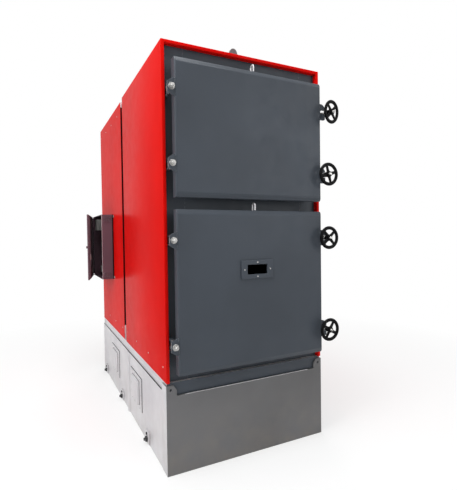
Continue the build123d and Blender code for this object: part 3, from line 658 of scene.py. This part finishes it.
corners = [(middle[0] + x * openHalf[0], beadY, middle[1] + z * openHalf[1])
    for x, z in ((-1, -1), (1, -1), (1, 1), (-1, 1), (-1, -1))]
beads = [barAlong(np.linspace(a, b, 12), sight["bead"], 8) for a, b in zip(corners, corners[1:])]
makePiece("sight_pane_sealant", beads, "wheel_black", "lower_door")
print("sight glass fittings")

# Welds: claws and hinge plates to the doors, and a ring round each leg of the loops
weld = dict(inMm(clawFaces=(-1234.5, -1221.5), clawHalf=53, clawOut=1, plateHalf=51,
    plateRoots=((0.8, -1245.4), (-0.4, -1236.4)), loopBar=5.2, ring=2.4, ringOut=1, ringUp=0.8, legSunk=1),
    ringSteps=24, clamps={"upper": (1, 2), "lower": (3, 4)})


def uprightBead(x, y, z, half):
    return weldBead((x, y, z - half), (x, y, z + half))


for door in doorNames:
    leafLow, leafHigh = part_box(f"{door}_door_leaf")
    clampHeights = [joints[f"clamp_{number}_swing"]["pos_m"][2] for number in weld["clamps"][door]]
    beads = [uprightBead(leafHigh[0] + weld["clawOut"], y, z, weld["clawHalf"])
        for z in clampHeights for y in weld["clawFaces"]]
    beads += [uprightBead(leafLow[0] + inward, y, z, weld["plateHalf"])
        for z in hingeHeights(door) for inward, y in weld["plateRoots"]]
    loopLow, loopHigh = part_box(f"{door}_door_loop")
    bar, count = weld["loopBar"], weld["ringSteps"]
    around, wide = np.arange(count) * 2 * np.pi / count, bar + weld["ringOut"]
    for y in (loopLow[1] + bar, loopHigh[1] - bar):
        ring = np.stack([wide * np.cos(around), y + wide * np.sin(around),
            np.full(count, leafHigh[2] + weld["ringUp"])], -1)
        beads.append(barAlong(ring, weld["ring"], 8, True))
    makePiece(f"{door}_door_welds", beads, "door_grey", f"{door}_door")
    # The loop is a round bar along two legs and a half circle over them
    half = (loopHigh[1] - loopLow[1]) / 2 - bar
    crown = loopHigh[2] - bar - half
    turn = np.linspace(0, np.pi, 20)
    legs = np.linspace(leafHigh[2] - weld["legSunk"], crown, 5)[:-1]
    across = np.concatenate([np.full(len(legs), -half), -half * np.cos(turn), np.full(len(legs), half)])
    up = np.concatenate([legs, crown + half * np.sin(turn), legs[::-1]])
    path = np.stack([np.zeros(len(up)), (loopLow[1] + loopHigh[1]) / 2 + across, up], -1)
    # The loop bar takes the light base finish as a painted highlight: the loop is painted like the door, and the
    # light tone stands in for sun on it
    makePiece(f"{door}_door_loop_bar", [barAlong(path, bar, 18)], "base_light", f"{door}_door",
        (f"{door}_door_loop",))
print("weld beads and loops")

# Lifting lugs: a round crown drawn down by two tangents to a wide foot; the outline is the distance from the
# shackle hole's centre at each angle, and the plate runs from there to the hole, with eased edges
lug = dict(inMm(crown=27, thick=20, ease=1.6, weld=5, weldInset=4, weldUp=1, ripple=6), count=96)
eyeLow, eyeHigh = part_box("lifting_eyes")


def liftingLug(centre, hole, foot, top, sizes):
    crown, half = sizes["crown"], (eyeHigh[0] - eyeLow[0]) / 2
    rise, drop = top - crown - centre[2], top - crown - foot
    tangent = math.acos(crown / math.hypot(drop, half)) - math.atan2(drop, half)
    touch = math.atan2(rise + crown * math.sin(tangent), crown * math.cos(tangent))
    angle = (np.arange(sizes["count"]) + 0.5) * 2 * np.pi / sizes["count"]
    upward = np.arctan2(np.sin(angle), np.abs(np.cos(angle)))
    arc = rise * np.sin(upward) + np.sqrt(np.maximum(crown ** 2 - (rise * np.cos(upward)) ** 2, 0))
    flank = (crown + rise * math.sin(tangent)) / np.maximum(np.cos(upward - tangent), 0.05)
    sole = (centre[2] - foot) / np.maximum(-np.sin(upward), 0.05)
    reach = np.where(upward > touch, arc, np.minimum(flank, sole))
    ease, deep = sizes["ease"], sizes["thick"] / 2
    steps = [(0, deep - ease), (0.3, deep - 0.3 * ease), (1, deep), (2, deep)]
    outer = [(reach - inset * ease, across) for inset, across in steps]
    inner = [(np.full_like(reach, hole + inset * ease), across) for inset, across in steps]
    rows = outer + inner[::-1]
    rows += [(radius, -across) for radius, across in rows[::-1]]
    points = [np.stack([centre[0] + radius * np.cos(angle), np.full_like(angle, centre[1] + across),
        centre[2] + radius * np.sin(angle)], -1) for radius, across in rows]
    return np.concatenate(points), gridFaces(len(rows), sizes["count"], True)


lugs, lugBeads = [], []
for place in ("front", "rear"):
    eye = mounts[f"{place}_lifting_eye"]
    centre, foot = eye["pos_m"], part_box(f"casing_roof_{place}")[1][2]
    top = eyeHigh[2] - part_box("casing_roof_front")[1][2] + foot
    lugs.append(liftingLug(centre, eye["dims"]["r_mm"] * mm, foot, top, lug))
    for y in (centre[1] - lug["thick"] / 2, centre[1] + lug["thick"] / 2):
        ends = (eyeLow[0] + lug["weldInset"], eyeHigh[0] - lug["weldInset"])
        lugBeads.append(weldBead(*((x, y, foot + lug["weldUp"]) for x in ends), lug["weld"],
            lug["ripple"]))
makePiece("lifting_lugs", lugs, "base_grey", "root", ("lifting_eyes",), 60.0)
makePiece("lifting_lug_welds", lugBeads, "base_grey")
print("lifting lugs")

# Anchor points on the base: a pad, a threaded stub with its nut, and a bolt head above
anchor = inMm(half=42, thick=10, sunk=0.5, corner=4, stub=11, stubLong=24, stubDown=12, thread=(1, 2),
    washer=(21, 3), nut=(34, 11), bore=8, head=(17, 8), headUp=26, fromFront=(449, 1307, 2110))
anchorPlates, anchorBolts = [], []
anchorLow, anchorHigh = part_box("base_anchors")
half, thick = anchor["half"], anchor["thick"]
z = anchorLow[2] + half
for side, name in sides:
    face = side * (anchorHigh[0] - thick - anchor["stubLong"])
    out = np.array([float(side), 0.0, 0.0])
    for y in np.array(anchor["fromFront"]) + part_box("casing_left_front")[0][1]:
        anchorPlates.append(sideSlab(face, side, -anchor["sunk"], thick, (y - half, y + half),
            (z - half, z + half), anchor["corner"], 4))
        stub, head = (np.array([face + side * thick, y, z + up])
            for up in (-anchor["stubDown"], anchor["headUp"]))
        anchorBolts += [
            washer(*anchor["washer"], anchor["bore"], stub, out),
            hexNut(*anchor["nut"], anchor["bore"], stub + out * anchor["washer"][1], out),
            threaded(anchor["stub"], *anchor["thread"], anchor["stubLong"], stub, out),
            hexNut(*anchor["head"], 0.0, head, out),
        ]
makePiece("base_anchor_plates", anchorPlates, "base_light", replaces=("base_anchors",))
makePiece("base_anchor_bolts", anchorBolts, "pipe_steel")

# Hatches: screws round each flange, and dark gaskets round the flange and the raised cover
hatch = inMm(long=345, flange=5, screw=(5, 2.2), edge=13, alongIn=50, upIn=60, gasket=3,
    gasketThick=2.2, gasketEase=0.8, raisedIn=(68, 36))
hatchScrews, gaskets = [], []
for side, name in sides:
    low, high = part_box(f"base_{name}_hatches")
    wallFace, edge = outerFace(f"base_{name}_wall", side), hatch["edge"]
    for start in (low[1], high[1] - hatch["long"]):
        end = start + hatch["long"]
        along = np.linspace(start + hatch["alongIn"], end - hatch["alongIn"], 4)
        upright = np.linspace(low[2] + hatch["upIn"], high[2] - hatch["upIn"], 3)
        places = [(y, z) for y in along for z in (low[2] + edge, high[2] - edge)]
        places += [(y, z) for z in upright for y in (start + edge, end - edge)]
        x = wallFace + side * hatch["flange"]
        hatchScrews += [domeHead(*hatch["screw"], (x, y, z), (side, 0, 0), 12) for y, z in places]
        for (endIn, edgeIn), rise in (((0.0, 0.0), 0.0), (hatch["raisedIn"], hatch["flange"])):
            wide, grow = hatch["gasket"], hatch["gasket"] / 2
            y0, y1 = start + endIn - wide, end - endIn + wide
            z0, z1 = low[2] + edgeIn - wide, high[2] - edgeIn + wide
            for ya, yb, za, zb in ((y0, y1, z0, z0), (y0, y1, z1, z1), (y0, y0, z0, z1), (y1, y1, z0, z1)):
                gaskets.append(sideSlab(wallFace, side, rise, rise + hatch["gasketThick"],
                    (ya - grow, yb + grow), (za - grow, zb + grow), hatch["gasketEase"]))
makePiece("hatch_screws", hatchScrews, "zinc_steel")
makePiece("hatch_gaskets", gaskets, "wheel_black")
print("base fittings")

# Apron over the deck's front edge, from the front plate down to the cover, in the dark door paint: painted shade
# over the lighter deck, for the shaded gap under the lower door
apron = inMm(thick=2, sunk=0.2, clear=1, above=1.5, ease=0.9)
deckLow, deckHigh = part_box("base_deck")
coverTop = 490 * mm
shadeApronSheet = roundedSlab((deckLow[0], deckLow[1] - apron["thick"], coverTop + apron["clear"]),
    (deckHigh[0], deckLow[1] + apron["sunk"], deckHigh[2] + apron["above"]),
    apron["ease"])
makePiece("sill_apron", [shadeApronSheet], "door_grey")

# Clips in the channel of the seams: upright plates at the foot and at the top
clip = inMm(ahead=62, thick=4, proud=1, ease=1, spans=((574, 697), (2588, 2637)))
clips = []
for side, name in sides:
    low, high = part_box(f"casing_{name}_rear")
    face, y = outerFace(f"casing_{name}_rear", side), low[1] + clip["ahead"]
    for span in clip["spans"]:
        clips.append(sideSlab(face, side, low[0] - high[0], clip["proud"], (y, y + clip["thick"]), span,
            clip["ease"]))
makePiece("seam_clips", clips, "base_light")

# Stiffening ribs: a half oval carried from the floor to the deck
rib = dict(inMm(wide=56, proud=11, sunk=8, rim=0.3), points=19)
ribLow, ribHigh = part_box("base_ribs")
ribTurn = np.linspace(0, np.pi, rib["points"])
ribChain = np.stack([(ribLow[1] + ribHigh[1]) / 2 - rib["wide"] / 2 * np.cos(ribTurn),
    np.maximum(rib["proud"] * np.sin(ribTurn), rib["rim"])], -1)
ribs = [foldedPanel(ribChain, side * (ribHigh[0] - rib["sunk"]), side, ribLow[2], ribHigh[2])
    for side, name in sides]
makePiece("base_rib_pressings", ribs, "base_light", replaces=("base_ribs",))

# Dark seal in the joint between the base walls and the deck
deckSeal = inMm(half=2.3, proud=0.5, deep=3, ease=0.5)
deckSeals = []
for side, name in sides:
    low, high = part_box(f"base_{name}_wall")
    span = (high[2] - deckSeal["half"], high[2] + deckSeal["half"])
    deckSeals.append(sideSlab(outerFace(f"base_{name}_wall", side), side, -deckSeal["deep"],
        deckSeal["proud"], (low[1], high[1]), span, deckSeal["ease"]))
makePiece("deck_seam_seals", deckSeals, "wheel_black")

# Sheet in the light base finish over the cover's side returns: painted light, the side faces lighter than the
# cover's front as if lit from the side
coverReturn = inMm(thick=0.6, sunk=0.2, deep=94, tall=555, inset=0.5, ease=0.2)
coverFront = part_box("base_front_cover")[0][1]
y = coverFront + coverReturn["inset"]
litReturnSheets = [sideSlab(outerFace("base_front_cover", side), side, -coverReturn["sunk"], coverReturn["thick"],
    (y, y + coverReturn["deep"]), (coverReturn["inset"], coverReturn["tall"]), coverReturn["ease"])
    for side, name in sides]
makePiece("cover_return_sheets", litReturnSheets, "base_light")

# Hem along the cover's upper edge, in the light base finish: a painted highlight along the edge
hem = inMm(radius=1.8, half=470, inset=1.2)
hemEnds = ((side * hem["half"], coverFront + hem["inset"], coverTop) for side, name in sides)
makePiece("cover_hem", [barAlong(np.linspace(*hemEnds, 24), hem["radius"], 10)], "base_light")

# Control cabinet: louvres in its front wall, door lips, a catch, and terminal rows inside
cabinet = dict(inMm(deep=110, step=9, tall=5, proud=3, margin=14, fromEnd=18, sunk=0.4, backSunk=0.6),
    louvres=6)
boxLow, boxHigh = boxOf("cabinet_box")
cabinetFront, mouthX = boxLow[1], boxHigh[0] - cabinet["deep"]


# A louvre is a quarter-round hood: it stands out by the sine and drops by the cosine of one angle along a slit
def louvre(x0, x1, y, z, sizes):
    across = np.linspace(0, 1, 16)[:, None]
    angle = np.linspace(0, np.pi / 2, 6)
    ends = np.clip(np.minimum(across, 1 - across) / 0.08, 0, 1) ** 0.5
    out, down = sizes["proud"] * np.sin(angle) * ends, sizes["tall"] * np.cos(angle)
    hood = np.stack(np.broadcast_arrays(x0 + (x1 - x0) * across, y + sizes["sunk"] - out, z + down), -1)
    back = hood[:, ::-1].copy()
    back[..., 1] = y + sizes["backSunk"]
    return np.concatenate([hood, back], 1).reshape(-1, 3), gridFaces(16, 12)


rows = np.arange(cabinet["louvres"]) * cabinet["step"]
starts = (boxLow[2] + cabinet["fromEnd"],
    boxHigh[2] - cabinet["fromEnd"] - cabinet["louvres"] * cabinet["step"])
slits = [louvre(mouthX + cabinet["margin"], boxHigh[0] - cabinet["margin"], cabinetFront, start + row,
    cabinet) for start in starts for row in rows]
makePiece("cabinet_louvres", slits, "cabinet_dark")

# Lips and catch of the cabinet door: laid out on the shut door, then turned about its hinge to where it rests
lip = dict(inMm(out=13.8, tall=12, thick=1.8, inset=12, long=506, ease=0.8, catchEase=2, knob=(9, 10)),
    ajar=-11.5, catchLow=(0, 22, 190), catchHigh=(16, 40, 245), knobPlace=(0.5, 40))
doorHinge = joints["cabinet_door_hinge"]["pos_m"]
doorCorner = np.array([doorHinge[0] + lip["out"], cabinetFront, boxLow[2]])
lipX, thick = doorCorner[0], lip["thick"]
front, rear = cabinetFront + lip["inset"], cabinetFront + lip["long"]
foot, head = boxLow[2] + lip["inset"], boxHigh[2] - lip["inset"]
lips = [roundedSlab((lipX, y0, z0), (lipX + lip["tall"], y1, z1), lip["ease"])
    for y0, y1, z0, z1 in (
        (front, front + thick, foot, head), (front, rear, foot, foot + thick),
        (front, rear, head - thick, head))]
knobPlace = doorCorner + np.array([*lip["knobPlace"], 0]) * mm + upAxis * (boxHigh[2] - boxLow[2]) / 2
catchLow, catchHigh = (doorCorner + np.array(lip[k]) * mm for k in ("catchLow", "catchHigh"))
catch = [roundedSlab(catchLow, catchHigh, lip["catchEase"]), plainRod(*lip["knob"], knobPlace, (1, 0, 0), 20)]


def turnAjar(surface):
    angle = math.radians(lip["ajar"])
    spin = np.array([[math.cos(angle), -math.sin(angle), 0], [math.sin(angle), math.cos(angle), 0], [0, 0, 1]])
    return (surface[0] - doorHinge) @ spin.T + doorHinge, surface[1]


makePiece("cabinet_door_lips", [turnAjar(part) for part in lips], "cabinet_dark", "cabinet_door")
makePiece("cabinet_door_catch", [turnAjar(part) for part in catch], "zinc_steel", "cabinet_door")

# Rows of terminals on the rails, and cooling ribs on the top unit
gear = dict(inMm(rails=(1250, 1391), span=(632, 908), x=(-634, -610.5), terminal=(6.8, 24),
    terminalEase=2, rib=1.8, ribIn=6, ribProud=4, ribSunk=1, ribEase=0.8, unitX=(-681, -593), unitFront=890,
    unitZ=(1545, 1655)), terminals=18, ribs=12)
ribIn, unitFront, (unitFoot, unitTop) = gear["ribIn"], gear["unitFront"], gear["unitZ"]
gearRows = [roundedSlab((x - gear["rib"], unitFront - gear["ribProud"], unitFoot + ribIn),
    (x + gear["rib"], unitFront + gear["ribSunk"], unitTop - ribIn), gear["ribEase"])
    for x in np.linspace(gear["unitX"][0] + ribIn, gear["unitX"][1] - ribIn, gear["ribs"])]
(x0, x1), (halfY, halfZ) = gear["x"], gear["terminal"]
gearRows += [roundedSlab((x0, y - halfY, z - halfZ), (x1, y + halfY, z + halfZ), gear["terminalEase"])
    for z in gear["rails"] for y in np.linspace(*gear["span"], gear["terminals"])]
makePiece("cabinet_terminals", gearRows, "gear_grey")

# Mounting tabs in front of the box, each with a screw into the casing
tab = inMm(long=34, half=11, thick=3, sunk=0.4, lap=2, ease=1.2, screw=(7, 4), heights=(1081, 1669))
panelFace = outerFace("casing_left_rear", -1)
tabs = []
for z in tab["heights"]:
    span, ends = (z - tab["half"], z + tab["half"]), (cabinetFront - tab["long"], cabinetFront + tab["lap"])
    screwPlace = (panelFace - tab["thick"], cabinetFront - tab["long"] * 0.55, z)
    tabs += [sideSlab(panelFace, -1, -tab["sunk"], tab["thick"], ends, span, tab["ease"]),
        domeHead(*tab["screw"], screwPlace, (-1, 0, 0))]
makePiece("cabinet_mounting_tabs", tabs, "zinc_steel")

# Near-black strips round the box's back, painted shade for the gap behind the box; a light strip at its mouth, a
# painted highlight on the front wall's edge; and a near-black strip at the door's hinge, painted shade
seal = inMm(wide=12, clear=0.3, proud=0.9, ease=0.4)
grow = seal["proud"]
(y0, z0), (y1, z1) = boxLow[1:], boxHigh[1:]
# The strips round the box's back are painted shade for the dark gap between box and casing
backShadeSeals = [roundedSlab((boxHigh[0] - seal["wide"], ya, za), (boxHigh[0] - seal["clear"], yb, zb), seal["ease"])
    for ya, yb, za, zb in (
        (y0 - grow, y0 + grow, z0 - grow, z1 + grow), (y1 - grow, y1 + grow, z0 - grow, z1 + grow),
        (y0 + grow, y1 - grow, z0 - grow, z0 + grow), (y0 + grow, y1 - grow, z1 - grow, z1 + grow))]
makePiece("cabinet_back_seal", backShadeSeals, "wheel_black")
# The light strip at the mouth is a painted highlight on the front wall's edge
highlightStrip = inMm(wide=3.5, proud=0.6, sunk=0.5, inset=1, ease=0.4)
highlightEdge = roundedSlab((mouthX, y0 - highlightStrip["proud"], z0 + highlightStrip["inset"]),
    (mouthX + highlightStrip["wide"], y0 + highlightStrip["sunk"], z1 - highlightStrip["inset"]), highlightStrip["ease"])
makePiece("cabinet_bare_edge", [highlightEdge], "base_light")
# The near-black strip at the hinge is painted shade for the dark gap at the door's hinge
strip = inMm(reach=11, lap=2, thick=4, clear=0.3, inset=14, ease=0.8)
hingeStrip = roundedSlab((mouthX - strip["reach"], y1 - strip["thick"], z0 + strip["inset"]),
    (mouthX + strip["lap"], y1 - strip["clear"], z1 - strip["inset"]), strip["ease"])
makePiece("cabinet_hinge_strip", [hingeStrip], "wheel_black")
print("cabinet fittings")

# Flue flange bolts, and fixing washers on the door linings
flue = dict(inMm(circle=204, flange=10, washer=(12, 2), bore=4, head=(17, 8)), bolts=12)
flueLow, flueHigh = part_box("flue_spigot")
(flueX, flueZ), flueBolts = frontOf(flueLow, flueHigh)[0], []
for angle in (np.arange(flue["bolts"]) + 0.5) * 2 * math.pi / flue["bolts"]:
    foot = np.array([flueX + flue["circle"] * math.cos(angle), flueLow[1] + flue["flange"],
        flueZ + flue["circle"] * math.sin(angle)])
    flueBolts += [washer(*flue["washer"], flue["bore"], foot, rearAxis),
        hexNut(*flue["head"], 0.0, foot + rearAxis * flue["washer"][1], rearAxis)]
makePiece("flue_flange_bolts", flueBolts, "zinc_steel")
fixing = dict(inMm(alongIn=170, upIn=140, washer=(19, 2), bore=3, head=(6, 6)), across=4, up=3)
for door in doorNames:
    low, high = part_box(f"{door}_door_lining")
    pins = []
    for x in np.linspace(low[0] + fixing["alongIn"], high[0] - fixing["alongIn"], fixing["across"]):
        for z in np.linspace(low[2] + fixing["upIn"], high[2] - fixing["upIn"], fixing["up"]):
            foot = np.array([x, high[1], z])
            pins += [washer(*fixing["washer"], fixing["bore"], foot, rearAxis),
                domeHead(*fixing["head"], foot + rearAxis * fixing["washer"][1], rearAxis, 14)]
    makePiece(f"{door}_lining_fixings", pins, "zinc_steel", f"{door}_door")
print("rear and lining fittings")


# A placing from three directions and a point
def placing(right, up, back, place):
    columns = np.eye(4)
    columns[:3] = np.stack([right, up, back, place], -1)
    return Matrix(columns.tolist())


# Camera at the photograph's viewpoint
viewPoint = {"place": (-1.3048, -3.4540, 1.4694), "yaw": 26.485, "pitch": 1.373, "roll": -0.788,
    "focalPixels": 396.03, "tall": 490, "sensor": 36.0}
yaw, pitch, roll = (math.radians(viewPoint[k]) for k in ("yaw", "pitch", "roll"))
ahead = np.array([math.sin(yaw) * math.cos(pitch), math.cos(yaw) * math.cos(pitch), -math.sin(pitch)])
right = np.array([math.cos(yaw), -math.sin(yaw), 0.0])
above = np.cross(right, ahead)
lensData = bpy.data.cameras.new("photoView")
lensData.sensor_fit = "AUTO"
lensData.sensor_width = viewPoint["sensor"]
lensData.lens = viewPoint["focalPixels"] / viewPoint["tall"] * viewPoint["sensor"]
lensData.clip_end = 100
camera = addObject("photoView", lensData)
camera.matrix_world = placing(math.cos(roll) * right + math.sin(roll) * above,
    math.cos(roll) * above - math.sin(roll) * right, -ahead, viewPoint["place"])
scene.camera = camera

# Studio: pale floor that fades to white, white surround for eye and reflections, four soft lamps
studio = {"ambient": 0.42, "floor": 30.0, "floorAt": -0.6 * mm, "floorGrey": (0.9, 0.9, 0.9), "nearWhite": 0.55,
    "fadeFrom": 1.6, "fadeTo": 4.2, "aim": (0.0, 0.0, 1.2)}
lamps = (("key", (-6.2, -2.6, 4.4), 3.2, 220.0), ("fill", (3.6, -6.2, 3.2), 3.6, 75.0),
    ("top", (-0.8, -1.9, 6.8), 3.0, 260.0), ("back", (2.5, 6.0, 4.0), 3.0, 110.0))
for name, place, size, power in lamps:
    lampData = bpy.data.lights.new(name, "AREA")
    lampData.shape = "SQUARE"
    lampData.size = size
    lampData.energy = power
    away = unit(np.array(place) - studio["aim"])
    addObject(name, lampData).matrix_world = placing(*acrossOf(away), away, place)


# One for the rays that see a surface straight on, in a reflection or through glass
def seenRays(tree):
    rays = addNode(tree, "LightPath")
    total = rays.outputs["Is Camera Ray"]
    for other in ("Is Glossy Ray", "Is Transmission Ray"):
        total = joinValues(tree, "MAXIMUM", total, rays.outputs[other])
    return total


world = bpy.data.worlds.new("studioWhite")
scene.world = world
tree = freshTree(world)
strength = spread(tree, seenRays(tree), 0.0, 1.0, studio["ambient"], 1.0)
sky = addNode(tree, "Background", {"Color": (1, 1, 1), "Strength": strength})
addNode(tree, "OutputWorld", {"Surface": sky.outputs["Background"]})

floorMesh = bpy.data.meshes.new("studioFloor")
floorCorners = [(x * studio["floor"], y * studio["floor"], studio["floorAt"])
    for x, y in ((-1, -1), (1, -1), (1, 1), (-1, 1))]
floorMesh.from_pydata(floorCorners, [], [(0, 1, 2, 3)])
floor = addObject("studioFloor", floorMesh)
floorFinish, tree, place = startFinish("paleFloor")
distance = addNode(tree, "VectorMath", {0: place}, operation="LENGTH").outputs["Value"]
fade = spread(tree, distance, studio["fadeFrom"], studio["fadeTo"], studio["nearWhite"], 1.0)
blend = addNode(tree, "MixShader", {
    0: joinValues(tree, "MULTIPLY", fade, seenRays(tree)),
    1: addNode(tree, "BsdfDiffuse", {"Color": studio["floorGrey"]}).outputs["BSDF"],
    2: addNode(tree, "Emission").outputs["Emission"]})
addNode(tree, "OutputMaterial", {"Surface": blend.outputs["Shader"]})
floorMesh.materials.append(floorFinish)
scene.view_settings.view_transform = "Standard"
print("camera and studio")
